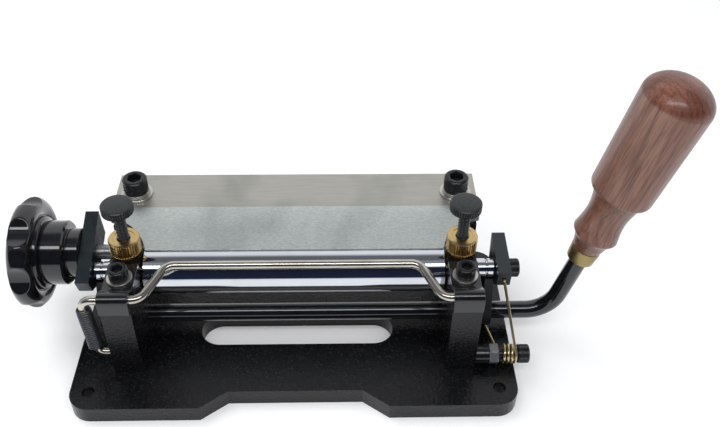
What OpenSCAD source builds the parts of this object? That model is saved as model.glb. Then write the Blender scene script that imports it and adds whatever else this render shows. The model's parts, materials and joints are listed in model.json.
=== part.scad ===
// Bench machine for splitting leather: a fixed blade over a roller that is
// lowered by a cam handle, between two uprights on a base plate.
// The origin is the centre of the base plate's underside, +Z is up and the
// leather goes in from the front, at -Y.

/* [Base plate] */
// Width of the base plate
base_w = 229; // [218:1:250]
// Depth of the base plate
base_d = 112; // [108:1:130]
// Thickness of the base plate
base_t = 10; // [9:0.5:14]
// Radius of the base plate's corners
base_corner_r = 11; // [4:0.5:14]
// Width of the relief in the front edge
relief_w = 96; // [60:1:120]
// Depth of the relief in the front edge
relief_d = 10; // [4:0.5:14]
// How far the relief's sides lean in
relief_lean = 13.5; // [6:0.5:20]
// Length of the slot between the uprights
slot_l = 104; // [60:1:130]
// Width of the slot between the uprights
slot_w = 21.5; // [12:0.5:30]
// Distance from the uprights' front face to the middle of the slot
slot_back = 28.75; // [24:0.25:34]
// Bore of the four bench mounting holes
mount_hole_d = 6.5; // [5:0.1:7.5]
// Distance from the side edges to the mounting holes
mount_inset_x = 9.5; // [8:0.5:10]
// Distance from the front and back edges to the mounting holes
mount_inset_y = 10.7; // [8:0.1:13]

/* [Uprights] */
// Clear width between the uprights
throat_w = 157; // [150:1:162]
// Thickness of an upright
upright_t = 15; // [14:0.5:16]
// Depth of an upright, front to back
upright_d = 88; // [84:1:92]
// Height of an upright above the base plate
upright_h = 50; // [48:1:56]
// Distance from the base plate's front edge to the uprights
upright_setback = 23; // [19:0.5:23]
// Extra thickness of the upright under the blade screws
pad_t = 3.5; // [1:0.5:4]
// Depth of that thicker pad
pad_l = 30; // [24:1:32]
// Distance from an upright's ends to the screws in its foot
foot_inset = 18; // [16:1:24]

/* [Blade] */
// Width of the blade across its back
blade_w = 197; // [190:1:204]
// Thickness of the blade
blade_t = 5; // [4:0.5:8]
// Depth of the flat strip behind the bevel
blade_flat = 28; // [24:0.5:30]
// Depth of the bevel
blade_bevel = 28.6; // [20:0.2:32]
// Thickness left at the cutting edge
blade_edge_t = 0.3; // [0.2:0.1:0.8]
// Distance from the roller's axis back to the cutting edge
edge_behind_roller = 1.5; // [0.5:0.5:4]
// Radius of the round notch at each front corner
blade_notch_r = 28.4; // [27.5:0.1:30]
// Distance of the notch's centre outside the throat
blade_notch_out = 26.5; // [26:0.5:28]
// Distance from the uprights' front face back to the notch's centre
blade_notch_back = 33; // [32:0.25:33.5]
// Distance between the two blade screws
blade_screw_span = 174; // [170:1:178]
// Distance from the blade's back edge to its screws
blade_screw_in = 17; // [12:0.5:20]

/* [Roller] */
// Diameter of the roller
roller_d = 25; // [20:0.5:26]
// Length of the roller
roller_l = 156; // [140:1:156.4]
// Diameter of the roller's axle
axle_d = 10; // [8:0.5:11]
// Distance from the uprights' front face back to the axle
axle_back = 37.5; // [36:0.5:39]
// Gap left under the blade with the roller raised
nip_gap = 0.3; // [0.2:0.1:1]
// How far the roller comes down
roller_travel = 10; // [4:0.5:10]
// Height of a slide block
block_h = 13; // [12.5:0.5:14]
// Depth of a slide block, front to back
block_w = 13; // [12.5:0.5:14]

/* [Handle] */
// Diameter of the handle bar
shaft_d = 9.5; // [8:0.5:10]
// Distance from the uprights' front face back to the handle shaft
shaft_back = 32.5; // [31:0.5:34]
// Height of the handle shaft above the base plate
shaft_up = 10; // [9:0.25:10.5]
// Where the bar's two straight runs would meet
bend_x = 137; // [130:1:150]
// Radius of the bend, on the bar's centre line
bend_r = 17; // [12:0.5:24]
// Lean of the grip away from the machine
grip_lean = 15; // [0:0.5:30]
// Distance from the bend to the grip's ferrule
grip_start = 40; // [36:1:60]
// Length of the wooden grip
grip_l = 112; // [90:1:125]
// Largest diameter of the grip
grip_d = 34.5; // [30:0.5:37]
// Swing of the handle that brings the roller all the way down
handle_swing = 80; // [50:1:80]
// Thickness of a cam
cam_t = 4.5; // [3:0.25:4.75]
// Diameter of a cam's hub
cam_hub_d = 16; // [14.5:0.5:17]

/* [Arms and lock knob] */
// Thickness of an arm
arm_t = 7; // [5:0.5:9]
// Depth of an arm's bar
arm_h = 17; // [15:0.5:20]
// Distance from an arm's nose to the axle
arm_nose = 11; // [10:0.5:14]
// Length of the right arm behind the axle
right_arm_tail = 17.5; // [13:0.5:24]
// Length of the left arm behind the axle
left_arm_tail = 31; // [28:0.5:36]
// Tilt of the right arm
right_arm_tilt = 5; // [0:1:10]
// Tilt of the left arm
left_arm_tilt = 20; // [10:1:24]
// Distance along the left arm from the axle to the lock knob
knob_back = 11; // [10.5:0.25:13]
// Diameter of the lock knob
knob_d = 59; // [50:1:66]
// Number of finger scallops round the lock knob
knob_lobes = 7; // [5:1:9]

/* [Adjusting screws] */
// Distance between the two adjusting screws
adjuster_span = 172; // [170:0.5:174]
// Diameter of an adjusting screw's thread
adjuster_d = 6; // [5:0.5:7]
// Diameter of an adjusting screw's head
adjuster_head_d = 16; // [13:0.5:17]
// Height of an adjusting screw's head above the uprights
adjuster_up = 28; // [24:0.5:34]
// Diameter of a brass lock nut
lock_nut_d = 16; // [13:0.5:17]
// Height of a brass lock nut
lock_nut_h = 11; // [8:0.5:13]

/* [Guide wire and its spring] */
// Diameter of the guide wire
wire_d = 4.5; // [3.5:0.25:4.75]
// Distance from the uprights' front face back to the wire's pivot
wire_back = 2.3; // [2.3:0.1:3]
// Distance from the wire's pivot to its middle bar
wire_reach = 21; // [17:0.5:22]
// Rise of the middle bar above the pivot, in degrees
wire_rise = 7; // [0:1:20]
// Length of the wire's middle bar
wire_bar_l = 118; // [100:1:126]
// Distance of the wire's spring end from the middle
wire_left = 101.5; // [100.5:0.5:103]
// Thickness of a clip's strip
clip_t = 1.6; // [1.2:0.1:2]
// Width of a clip
clip_w = 15; // [11:0.5:15]
// Outer diameter of the extension spring
pull_spring_d = 7.6; // [7.4:0.1:8.4]
// Wire of the extension spring
pull_spring_wire = 1; // [0.8:0.1:1]
// Turns of the extension spring
pull_spring_turns = 20; // [12:1:20]

/* [Torsion spring] */
// Wire of the torsion spring
twist_wire = 1.5; // [1.2:0.1:1.5]
// Outer diameter of the torsion spring's coil
twist_d = 10.5; // [10.2:0.1:11.5]
// Pitch of the torsion spring's coil
twist_pitch = 2; // [2:0.1:2.3]
// Whole turns of the torsion spring's coil
twist_turns = 3; // [2:1:4]
// Distance from the uprights' front face back to the spring's bolt
twist_back = 4.5; // [4.5:0.25:6]
// Height of the spring's bolt above the base plate
twist_up = 6.5; // [6.25:0.25:8]

/* [Fasteners] */
// Thread of the blade screws
blade_screw_d = 8; // [6:1:8]
// Thread of the small screws
screw_d = 6; // [5:0.5:6]

/* [Hidden] */
$fn = 48;

// Clearances between parts
fit = 0.05;        // running or threaded fit, on the radius
side_gap = 0.3;    // end float between parts that pass each other
bolt_gap = 0.4;    // clearance hole, on the radius
ball = 1.008;      // size of the ball at a bar's bends, to the bar

// Planes that the parts share
upright_y = -base_d / 2 + upright_setback;    // front face of the uprights
upright_x = throat_w / 2;                     // inner face of an upright
upright_out = upright_x + upright_t;          // outer face of an upright
deck_z = base_t + upright_h;                  // top of the uprights
axle_y = upright_y + axle_back;
axle_z = deck_z - nip_gap - roller_d / 2;
shaft_y = upright_y + shaft_back;
shaft_z = base_t + shaft_up;
edge_y = axle_y + edge_behind_roller;
blade_back_y = edge_y + blade_bevel + blade_flat;
blade_top_z = deck_z + blade_t;
blade_screw_y = blade_back_y - blade_screw_in;
adjuster_x = adjuster_span / 2;

// Slide blocks and the windows that they run in
window_w = block_w + 2 * fit;
window_low = axle_z - roller_travel - block_h / 2 - side_gap;
window_top = axle_z + block_h / 2 + fit;

// Cams and arms outside the uprights
cam_x = upright_out + 6.5;                    // inner face of a cam's lobe
arm_x = cam_x + cam_t + side_gap;             // inner face of an arm
arm_out = arm_x + arm_t;
cam_offset = axle_y - shaft_y;
cam_high = axle_z - shaft_z;                  // axle above the shaft, raised
cam_rate = roller_travel / handle_swing;      // mm for each degree
follower_r = axle_d / 2 + fit;

// Socket head screws, in shares of the thread
head_r = 0.82;
socket_r = 0.48;
washer_r = 1.06;

// Guide wire and clips
wire_y = upright_y + wire_back;
wire_z = deck_z + wire_d / 2 + fit;
wire_sweep = 65;                              // slope of the S bends
wire_bend = 7;
wire_crank_bend = 5;
clip_inner = wire_d / 2 + 2 * fit;
clip_outer = clip_inner + clip_t;
clip_slope = 35;                              // ramp behind the hump
clip_back_y = upright_y + axle_back - lock_nut_d / 2 - 1.5;
clip_screw_y = upright_y + 17.5;
clip_lip = 7;                                 // lip below the hump's centre
clip_steps = 12;                              // facets of the hump

// Torsion spring and its bolt
twist_y = upright_y + twist_back;
twist_z = base_t + twist_up;
twist_r = (twist_d - twist_wire) / 2;
spacer_l = 7.3;
nut_t = 4.7;
twist_start = upright_out + spacer_l + nut_t + 0.75 + twist_wire;
twist_end = twist_start + twist_pitch * (twist_turns + 0.4);

// Extension spring between the wire's crank and the anchor pin
pull_r = (pull_spring_d - pull_spring_wire) / 2;
pull_pitch = pull_spring_wire + 0.5;
pull_l = pull_pitch * pull_spring_turns;
pull_top = wire_z - wire_crank_bend - 1;
pull_low = pull_top - pull_l;
anchor_d = 4;
anchor_y = upright_y + 4.6;
anchor_bend = 4.5;
anchor_z = pull_low - anchor_bend;

rings = 8;                                    // rings in one curl of a spring
wire_sides = 6;

// ---------------------------------------------------------------- shapes

// A copy on each side of the middle
module both() {
    children();
    mirror([1, 0, 0]) children();
}

// Rod along +X from x0 to x1
module rod_x(x0, x1, r, y = 0, z = 0) {
    translate([x0, y, z]) rotate([0, 90, 0]) cylinder(h = x1 - x0, r = r);
}

module box(x0, x1, y0, y1, z0, z1) {
    translate([x0, y0, z0]) cube([x1 - x0, y1 - y0, z1 - z0]);
}

// Straight run of bar along +Z; children start at its end
module run(length, r) {
    cylinder(h = length, r = r);
    translate([0, 0, length]) children();
}

// Bend of a bar from +Z towards +X; children start at its end. A ball that is
// a little larger than the bar closes each joint between a run and a bend.
module elbow(bend, angle, r) {
    sphere(r = ball * r);
    translate([bend, 0, 0]) rotate([90, 0, 180])
        rotate_extrude(angle = angle) translate([bend, 0]) circle(r = r);
    translate([bend * (1 - cos(angle)), 0, bend * sin(angle)]) {
        sphere(r = ball * r);
        rotate([0, angle, 0]) children();
    }
}

// Socket head cap screw: shank below Z = 0, head above
module cap_screw(d, length) {
    difference() {
        union() {
            translate([0, 0, -length]) cylinder(h = length, r = d / 2);
            rotate_extrude() polygon([[0, 0], [head_r * d, 0], [head_r * d, 0.9 * d],
                [head_r * d - 0.1 * d, d], [0, d]]);
        }
        translate([0, 0, d / 2]) cylinder(h = d, r = socket_r * d, $fn = 6);
    }
}

// Plain washer standing on Z = 0
module washer(d, outer_r, t) {
    difference() {
        cylinder(h = t, r = outer_r);
        translate([0, 0, -1]) cylinder(h = t + 2, r = d / 2 + 0.2);
    }
}

// Spring washer: a washer with a slanting cut
module spring_washer(d, outer_r, t) {
    difference() {
        washer(d, outer_r, t);
        translate([0, -0.5, t / 2]) rotate([0, 25, 0]) translate([0, 0, -t * 2])
            rotate([0, 0, -90]) cube([1, outer_r + 1, t * 4]);
    }
}

// Disc with straight knurling grooves round its rim
module knurled(r, h, teeth) {
    difference() {
        rotate_extrude() polygon([[0, 0], [r - 0.5, 0], [r, 0.5], [r, h - 0.5],
            [r - 0.5, h], [0, h]]);
        for (i = [0:teeth - 1]) rotate([0, 0, i * 360 / teeth])
            translate([r + 0.1, 0, 0]) rotate([0, 0, 45])
                translate([-0.35, -0.35, -1]) cube([0.7, 0.7, h + 2]);
    }
}

// Tube of 6 sides along a list of points, its frames carried from ring to ring
function unit(v) = v / norm(v);
function along(p, i) =
    unit(p[min(i + 1, len(p) - 1)] - p[max(i - 1, 0)]);
function across(v, t) = unit(v - (v * t) * t);
function tube_sides(p, start) =
    [for (i = 0, n = across(start, along(p, 0)); i < len(p);
          i = i + 1, n = i < len(p) ? across(n, along(p, i)) : n) n];
function tube_points(p, r, start) =
    let (side = tube_sides(p, start))
    [for (i = [0:len(p) - 1]) let (u = side[i], w = cross(along(p, i), u))
        for (k = [0:wire_sides - 1])
            p[i] + r * (cos(k * 360 / wire_sides) * u + sin(k * 360 / wire_sides) * w)];
function tube_faces(n) = let (m = wire_sides) concat(
    [for (i = [0:n - 2]) for (k = [0:m - 1])
        [i * m + k, (i + 1) * m + k, (i + 1) * m + (k + 1) % m]],
    [for (i = [0:n - 2]) for (k = [0:m - 1])
        [i * m + k, (i + 1) * m + (k + 1) % m, i * m + (k + 1) % m]],
    [for (k = [1:m - 2]) [0, k, k + 1]],
    [for (k = [1:m - 2]) [(n - 1) * m, (n - 1) * m + k + 1, (n - 1) * m + k]]);
module wound_tube(p, r, start) {
    polyhedron(points = tube_points(p, r, start), faces = tube_faces(len(p)));
}
// Least gap between a tube's own curls, measured ring to ring
function least_gap(p, r) = min([for (i = [0:len(p) - 1])
    for (j = [i + rings - 2:1:min(i + rings + 2, len(p) - 1)])
        if (j > i + 2) norm(p[i] - p[j])]) - 2 * r;

// ------------------------------------------------------------ base plate

function mount_x() = base_w / 2 - mount_inset_x;
function mount_y() = base_d / 2 - mount_inset_y;

// Places of the screws that hold one upright down
module foot_places() {
    for (back = [foot_inset, upright_d - foot_inset])
        translate([upright_x + upright_t / 2, upright_y + back, 0]) children();
}

module base_outline() {
    half_w = base_w / 2 - base_corner_r;
    half_d = base_d / 2 - base_corner_r;
    difference() {
        union() {
            square([base_w, base_d - 2 * base_corner_r], center = true);
            square([base_w - 2 * base_corner_r, base_d], center = true);
            for (x = [-half_w, half_w]) for (y = [-half_d, half_d])
                translate([x, y]) circle(r = base_corner_r);
        }
        polygon([[-relief_w / 2, -base_d / 2 - 1], [relief_w / 2, -base_d / 2 - 1],
            [relief_w / 2, -base_d / 2],
            [relief_w / 2 - relief_lean, -base_d / 2 + relief_d],
            [-relief_w / 2 + relief_lean, -base_d / 2 + relief_d],
            [-relief_w / 2, -base_d / 2]]);
        translate([0, upright_y + slot_back]) {
            square([slot_l - slot_w, slot_w], center = true);
            for (x = [-1, 1]) translate([x * (slot_l - slot_w) / 2, 0])
                circle(r = slot_w / 2);
        }
    }
}

module base_plate() {
    color("#1b1c1e") difference() {
        linear_extrude(base_t) base_outline();
        for (x = [-mount_x(), mount_x()]) for (y = [-mount_y(), mount_y()])
            translate([x, y, -1]) cylinder(h = base_t + 2, r = mount_hole_d / 2);
        both() foot_places() {
            translate([0, 0, -1]) cylinder(h = base_t + 2, r = screw_d / 2 + bolt_gap);
            translate([0, 0, -1]) cylinder(h = screw_d + 1.4, r = head_r * screw_d + bolt_gap);
        }
    }
}

module upright_bolts() {
    color("#2a2b2d") both() foot_places()
        translate([0, 0, screw_d + 0.4]) rotate([180, 0, 0]) cap_screw(screw_d, 16);
}

// -------------------------------------------------------------- uprights

module upright_blank() {
    back_y = upright_y + upright_d;
    box(upright_x, upright_out, upright_y, back_y, base_t, deck_z);
    box(upright_out - 1, upright_out + pad_t, back_y - pad_l, back_y, base_t, deck_z);
}

// Right-hand upright; the left one is its mirror image
module upright() {
    difference() {
        upright_blank();
        box(upright_x - 1, upright_out + 1, axle_y - window_w / 2,
            axle_y + window_w / 2, window_low, window_top);
        rod_x(upright_x - 1, upright_out + 1, shaft_d / 2 + fit, shaft_y, shaft_z);
        foot_places() translate([0, 0, base_t - 1])
            cylinder(h = 14, r = screw_d / 2 + fit);
        translate([adjuster_x, axle_y, window_top - 1])
            cylinder(h = upright_h, r = adjuster_d / 2 + fit);
        translate([adjuster_x, clip_screw_y, deck_z - 13])
            cylinder(h = 14, r = screw_d / 2 + fit);
        translate([blade_screw_span / 2, blade_screw_y, deck_z - 18])
            cylinder(h = 19, r = blade_screw_d / 2 + fit);
    }
}

module left_upright() {
    color("#232527") mirror([1, 0, 0]) difference() {
        upright();
        rod_x(upright_out - 9, upright_out + 1, anchor_d / 2 + fit, anchor_y, anchor_z);
    }
}

module right_upright() {
    color("#232527") difference() {
        upright();
        rod_x(upright_out - 11, upright_out + 1, screw_d / 2 + fit, twist_y, twist_z);
    }
}

// ----------------------------------------------------------------- blade

module blade_section() {
    polygon([[edge_y, deck_z], [blade_back_y, deck_z],
        [blade_back_y, blade_top_z - 0.4], [blade_back_y - 0.4, blade_top_z],
        [blade_back_y - blade_flat, blade_top_z], [edge_y, deck_z + blade_edge_t]]);
}

module blade() {
    notch_x = upright_x + blade_notch_out;
    color("#b4b6ae") difference() {
        translate([-blade_w / 2, 0, 0]) rotate([90, 0, 90])
            linear_extrude(blade_w) blade_section();
        both() {
            translate([notch_x, upright_y + blade_notch_back, deck_z - 1])
                cylinder(h = blade_t + 2, r = blade_notch_r, $fn = 96);
            translate([blade_screw_span / 2, blade_screw_y, deck_z - 1])
                cylinder(h = blade_t + 2, r = blade_screw_d / 2 + bolt_gap);
        }
    }
}

blade_washer_t = 1.5;
blade_spring_t = 2;

module blade_screw_places(z) {
    both() translate([blade_screw_span / 2, blade_screw_y, z]) children();
}

module blade_screws() {
    color("#2a2b2d") blade_screw_places(blade_top_z + blade_washer_t + blade_spring_t)
        cap_screw(blade_screw_d, 20);
}

module blade_washers() {
    color("#b9b7b0") blade_screw_places(blade_top_z)
        washer(blade_screw_d, washer_r * blade_screw_d, blade_washer_t);
}

module blade_spring_washers() {
    color("#8d8b85") blade_screw_places(blade_top_z + blade_washer_t)
        spring_washer(blade_screw_d, 0.9 * blade_screw_d, blade_spring_t);
}

// ---------------------------------------------------------------- roller

bush_l = 14;
bush_r = axle_d / 2 + 3;

module roller_tube() {
    color("#cfd3da") difference() {
        rotate([0, 90, 0]) translate([0, 0, -roller_l / 2]) translate([-axle_z, axle_y, 0])
            rotate_extrude() polygon([[0, 0], [roller_d / 2 - 0.5, 0],
                [roller_d / 2, 0.5], [roller_d / 2, roller_l - 0.5],
                [roller_d / 2 - 0.5, roller_l], [0, roller_l]]);
        rod_x(-roller_l / 2 - 1, roller_l / 2 + 1, axle_d / 2 + 1, axle_y, axle_z);
        both() rod_x(roller_l / 2 - bush_l, roller_l / 2 + 1, bush_r, axle_y, axle_z);
    }
}

module roller_bushes() {
    color("#b58a3e") both() difference() {
        rod_x(roller_l / 2 - bush_l, roller_l / 2, bush_r, axle_y, axle_z);
        rod_x(roller_l / 2 - bush_l - 1, roller_l / 2 + 1, axle_d / 2 + fit, axle_y, axle_z);
    }
}

module axle_profile() {
    groove = arm_x - 5;
    polygon([[0, 0], [axle_d / 2, 0], [axle_d / 2, groove],
        [axle_d / 2 - 0.5, groove + 0.3], [axle_d / 2 - 0.5, groove + 0.9],
        [axle_d / 2, groove + 1.2], [axle_d / 2, arm_x - 0.6],
        [axle_d / 2 - 0.6, arm_x], [0, arm_x]]);
}

module roller_axle() {
    color("#c9ccd0") difference() {
        translate([0, axle_y, axle_z]) both() rotate([0, 90, 0])
            rotate_extrude() axle_profile();
        both() rod_x(arm_x - 17, arm_x + 1, screw_d / 2 + fit, axle_y, axle_z);
    }
}

module slide_block() {
    difference() {
        box(upright_x + fit, upright_out - fit, axle_y - block_w / 2,
            axle_y + block_w / 2, axle_z - block_h / 2, axle_z + block_h / 2);
        rod_x(upright_x - 1, upright_out + 1, axle_d / 2 + fit / 2, axle_y, axle_z);
    }
}

module left_slide_block() { color("#a8834a") mirror([1, 0, 0]) slide_block(); }
module right_slide_block() { color("#a8834a") slide_block(); }

// ------------------------------------------------------------------ arms

// Flat bar with a chamfered nose and a slanting tail; the axle is at 0, 0
module arm_profile(tail) {
    polygon([[-arm_nose, arm_h / 2], [-arm_nose, -1], [-arm_nose + 7, -arm_h / 2],
        [tail - 4, -arm_h / 2], [tail, arm_h / 2]]);
}

// An arm, turned about the axle, with its own holes as children
module arm_blank(tail, tilt) {
    translate([arm_x, axle_y, axle_z]) rotate([tilt, 0, 0]) difference() {
        rotate([90, 0, 90]) linear_extrude(arm_t) arm_profile(tail);
        rod_x(-1, arm_t + 1, screw_d / 2 + fit);
        children();
    }
}

// Hole in the right arm's nose for the torsion spring's leg
nose_drop = 4.5;      // from the arm's top edge down to the hole
nose_x = arm_x + arm_t / 2;
leg_hole_r = twist_wire / 2 + side_gap;
nose_y = axle_y - arm_nose * cos(right_arm_tilt)
    - (arm_h / 2 - nose_drop) * sin(right_arm_tilt);
nose_z = axle_z - arm_nose * sin(right_arm_tilt)
    + (arm_h / 2 - nose_drop) * cos(right_arm_tilt);

module right_arm() {
    color("#243238") difference() {
        arm_blank(right_arm_tail, right_arm_tilt);
        translate([nose_x, nose_y, nose_z]) rotate([90, 0, 0]) translate([0, 0, -6])
            cylinder(h = 12, r = leg_hole_r);
    }
}

module left_arm() {
    color("#243238") mirror([1, 0, 0]) arm_blank(left_arm_tail, left_arm_tilt) {
        translate([arm_t - 3.3, 0, 0]) rotate([0, 90, 0])
            cylinder(h = 3.4, r1 = screw_d / 2 + fit, r2 = screw_d + fit);
        rod_x(-1, arm_t + 1, knob_stud_r + fit, knob_back, 0);
    }
}

module right_arm_screw() {
    color("#2a2b2d") translate([arm_out, axle_y, axle_z]) rotate([0, 90, 0])
        cap_screw(screw_d, arm_t + 14);
}

// Countersunk screw, flush with the left arm
module left_arm_screw() {
    color("#2a2b2d") mirror([1, 0, 0]) translate([arm_out, axle_y, axle_z])
        rotate([0, 90, 0]) difference() {
            union() {
                translate([0, 0, -arm_t - 14]) cylinder(h = arm_t + 13.8, r = screw_d / 2);
                translate([0, 0, -3.3]) cylinder(h = 3.1, r1 = screw_d / 2, r2 = screw_d - 0.2);
            }
            translate([0, 0, -2]) cylinder(h = 3, r = socket_r * screw_d, $fn = 6);
        }
}

// ------------------------------------------------------------- lock knob

knob_stud_r = 4;
knob_y = axle_y + knob_back * cos(left_arm_tilt);
knob_z = axle_z + knob_back * sin(left_arm_tilt);
sleeve_l = 7;
collar_l = 12;
knob_face = sleeve_l + collar_l;     // from the arm to the knob's back
knob_t = 17;

// Frame of the knob: +Z points out of the left side, from the arm's face
module knob_frame() {
    translate([-arm_out, knob_y, knob_z]) rotate([0, -90, 0]) children();
}

module knob_hub() {
    color("#0d0e10") knob_frame() difference() {
        rotate_extrude() polygon([[0, 0.1], [12.35, 0.1], [12.75, 0.5],
            [12.75, sleeve_l], [16.2, sleeve_l], [17, sleeve_l + 0.8],
            [17, knob_face], [0, knob_face]]);
        translate([0, 0, -1]) cylinder(h = knob_face + 2, r = knob_stud_r + fit);
    }
}

module star_knob() {
    rim = knob_d / 2;
    color("#101113") knob_frame() translate([0, 0, knob_face]) difference() {
        rotate_extrude() union() {
            polygon([[0, 0], [19, 0], [19.5, 2.5], [rim - 8, 3], [rim - 5, 1],
                [rim - 5, knob_t - 3.5], [rim - 14, knob_t - 0.8], [0, knob_t]]);
            translate([rim - 6, 7]) circle(r = 6);
        }
        for (i = [0:knob_lobes - 1]) rotate([0, 0, (i + 0.5) * 360 / knob_lobes])
            translate([rim + 9.5, 0, -1]) cylinder(h = knob_t + 2, r = 13);
        translate([0, 0, -1]) cylinder(h = knob_t - 4, r = knob_stud_r + fit);
    }
}

module knob_stud() {
    color("#3a3c3f") knob_frame()
        translate([0, 0, -arm_out + upright_out + side_gap])
            cylinder(h = knob_face + knob_t - 6 + arm_out - upright_out - side_gap,
                r = knob_stud_r);
}

// ---------------------------------------------------------------- handle

// Height of the axle over the shaft when the handle has swung by a degrees
function lift(a) = cam_high - cam_rate * min(max(a, 0), handle_swing);
// Centre of the axle, seen by the cam, and the cam's edge under the axle
function follower(a) = [cam_offset * cos(a) + lift(a) * sin(a),
    -cam_offset * sin(a) + lift(a) * cos(a)];
function cam_edge(a) =
    let (way = unit(follower(a + 0.01) - follower(a - 0.01)))
    follower(a) + follower_r * [way[1], -way[0]];

cam_step = 4;
cam_nose = 8;       // dwell before the handle's rest position
cam_tail = 20;      // dwell past the end of the swing
set_screw_r = 2;
set_screw_x = upright_out + 3.5;

module cam_profile() {
    polygon(concat([[-cam_hub_d / 2, 0]],
        [for (a = [-cam_nose:cam_step:handle_swing + cam_tail]) cam_edge(a)],
        [[0, -cam_hub_d / 2]]));
    circle(r = cam_hub_d / 2);
}

module cam() {
    difference() {
        union() {
            rod_x(upright_out + side_gap, cam_x + 0.5, cam_hub_d / 2, shaft_y, shaft_z);
            translate([cam_x, shaft_y, shaft_z]) rotate([90, 0, 90])
                linear_extrude(cam_t) cam_profile();
        }
        rod_x(upright_out - 1, arm_x, shaft_d / 2 + fit / 2, shaft_y, shaft_z);
        translate([set_screw_x, shaft_y, shaft_z]) rotate([90, 0, 0])
            cylinder(h = cam_hub_d, r = set_screw_r + fit / 2);
    }
}

module left_cam() { color("#1e2022") mirror([1, 0, 0]) cam(); }
module right_cam() { color("#1e2022") cam(); }

module cam_set_screws() {
    color("#3a3c3f") both() translate([set_screw_x, shaft_y, shaft_z])
        rotate([90, 0, 0]) translate([0, 0, shaft_d / 2 + fit]) difference() {
            cylinder(h = (cam_hub_d - shaft_d) / 2 - 0.3, r = set_screw_r);
            translate([0, 0, 1.2]) cylinder(h = cam_hub_d, r = set_screw_r / 2, $fn = 6);
        }
}

tang_l = 30;      // length of the bar inside the grip
bend_angle = 90 - grip_lean;
bend_cut = bend_r * tan(bend_angle / 2);

// Frame of the grip: +Z along it, from where the ferrule starts
module grip_frame() {
    translate([bend_x, shaft_y, shaft_z]) rotate([0, grip_lean, 0])
        translate([0, 0, grip_start]) children();
}

module handle_bar() {
    color("#15171a") translate([-arm_x + side_gap, shaft_y, shaft_z]) rotate([0, 90, 0])
        run(arm_x - side_gap + bend_x - bend_cut, shaft_d / 2)
            rotate([0, 0, 180]) elbow(bend_r, bend_angle, shaft_d / 2)
                run(grip_start - bend_cut + tang_l, shaft_d / 2);
}

ferrule_l = 8.5;
ferrule_r = 7.7;

module handle_ferrule() {
    color("#9b7c3a") grip_frame() difference() {
        rotate_extrude() polygon([[0, 0], [ferrule_r - 1.3, 0], [ferrule_r - 0.6, 0.7],
            [ferrule_r, ferrule_l], [0, ferrule_l]]);
        translate([0, 0, -1]) cylinder(h = ferrule_l + 2, r = shaft_d / 2 + fit / 2);
    }
}

// Turned grip: taper, sharp bead, waist, then a long body that widens to a
// low dome
module grip_profile() {
    r = grip_d / 2;
    base_r = r - 1.4;
    dome = 0.68 * r;
    bead_r = 11.7;
    bead_z = 10.4;
    body_z = 37;
    polygon(concat([[0, 0], [ferrule_r - 0.1, 0], [8.2, 3], [9.3, 6.5], [10.9, 9]],
        [for (t = [0:0.125:1]) [bead_r + 1.5 * t - 2.05 * sin(180 * t),
            bead_z + (body_z - bead_z) * t]],
        [[base_r - 1.6, body_z + 0.1], [base_r - 0.5, body_z + 0.9], [base_r, body_z + 2.8]],
        [for (a = [0:10:90]) [r * cos(a), grip_l - ferrule_l - dome + dome * sin(a)]]));
}

module handle_grip() {
    color("#8a5e50") grip_frame() translate([0, 0, ferrule_l]) difference() {
        rotate_extrude($fn = 64) grip_profile();
        translate([0, 0, -1]) cylinder(h = tang_l - ferrule_l + 2, r = shaft_d / 2 + fit / 2);
    }
}

// ------------------------------------------------------ adjusting screws

module thumb_screw() {
    head_t = 5;
    foot_z = axle_z + block_h / 2 + fit;
    head_z = deck_z + adjuster_up;
    translate([adjuster_x, axle_y, foot_z])
        cylinder(h = head_z - foot_z, r = adjuster_d / 2);
    translate([adjuster_x, axle_y, head_z])
        knurled(adjuster_head_d / 2, head_t, 40);
}

module lock_nut() {
    step = 2.4;
    translate([adjuster_x, axle_y, deck_z + fit]) difference() {
        union() {
            cylinder(h = step + 0.5, r = lock_nut_d / 2 - 1.5);
            translate([0, 0, step]) knurled(lock_nut_d / 2, lock_nut_h - step, 40);
        }
        translate([0, 0, -1]) cylinder(h = lock_nut_h + 2, r = adjuster_d / 2 + fit);
    }
}

module left_thumb_screw() { color("#3e4244") mirror([1, 0, 0]) thumb_screw(); }
module right_thumb_screw() { color("#3e4244") thumb_screw(); }
module left_lock_nut() { color("#b8904a") mirror([1, 0, 0]) lock_nut(); }
module right_lock_nut() { color("#b8904a") lock_nut(); }

// -------------------------------------------------- guide wire and clips

// Points on an arc round the wire, from angle a to angle b
function wire_arc(r, a, b) = [for (i = [0:clip_steps]) let (t = a + (b - a) * i / clip_steps)
    [wire_y + r * cos(t), wire_z + r * sin(t)]];

// Side view of a clip: foot, ramp, hump over the wire and front lip
module clip_section() {
    rim = 90 - clip_slope;
    hump = wire_arc(clip_outer, rim, 180);
    inside = wire_arc(clip_inner, 180, rim);
    ramp_out = hump[0] + (hump[0][1] - deck_z - clip_t) * [1 / tan(clip_slope), -1];
    ramp_in = inside[clip_steps] + (inside[clip_steps][1] - deck_z) * [1 / tan(clip_slope), -1];
    polygon(concat([[clip_back_y, deck_z], [clip_back_y, deck_z + clip_t], ramp_out], hump,
        [[wire_y - clip_outer, wire_z - clip_lip], [wire_y - clip_inner, wire_z - clip_lip]],
        inside, [ramp_in]));
}

module clip() {
    color("#1d1f21") difference() {
        translate([adjuster_x - clip_w / 2, 0, 0]) rotate([90, 0, 90])
            linear_extrude(clip_w) clip_section();
        translate([adjuster_x, clip_screw_y, deck_z - 1])
            cylinder(h = clip_t + 2, r = screw_d / 2 + bolt_gap);
    }
}

module left_clip() { mirror([1, 0, 0]) clip(); }
module right_clip() { clip(); }

module clip_screws() {
    color("#2a2b2d") both() translate([adjuster_x, clip_screw_y, deck_z + clip_t + 1.2])
        cap_screw(screw_d, 13);
}

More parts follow.
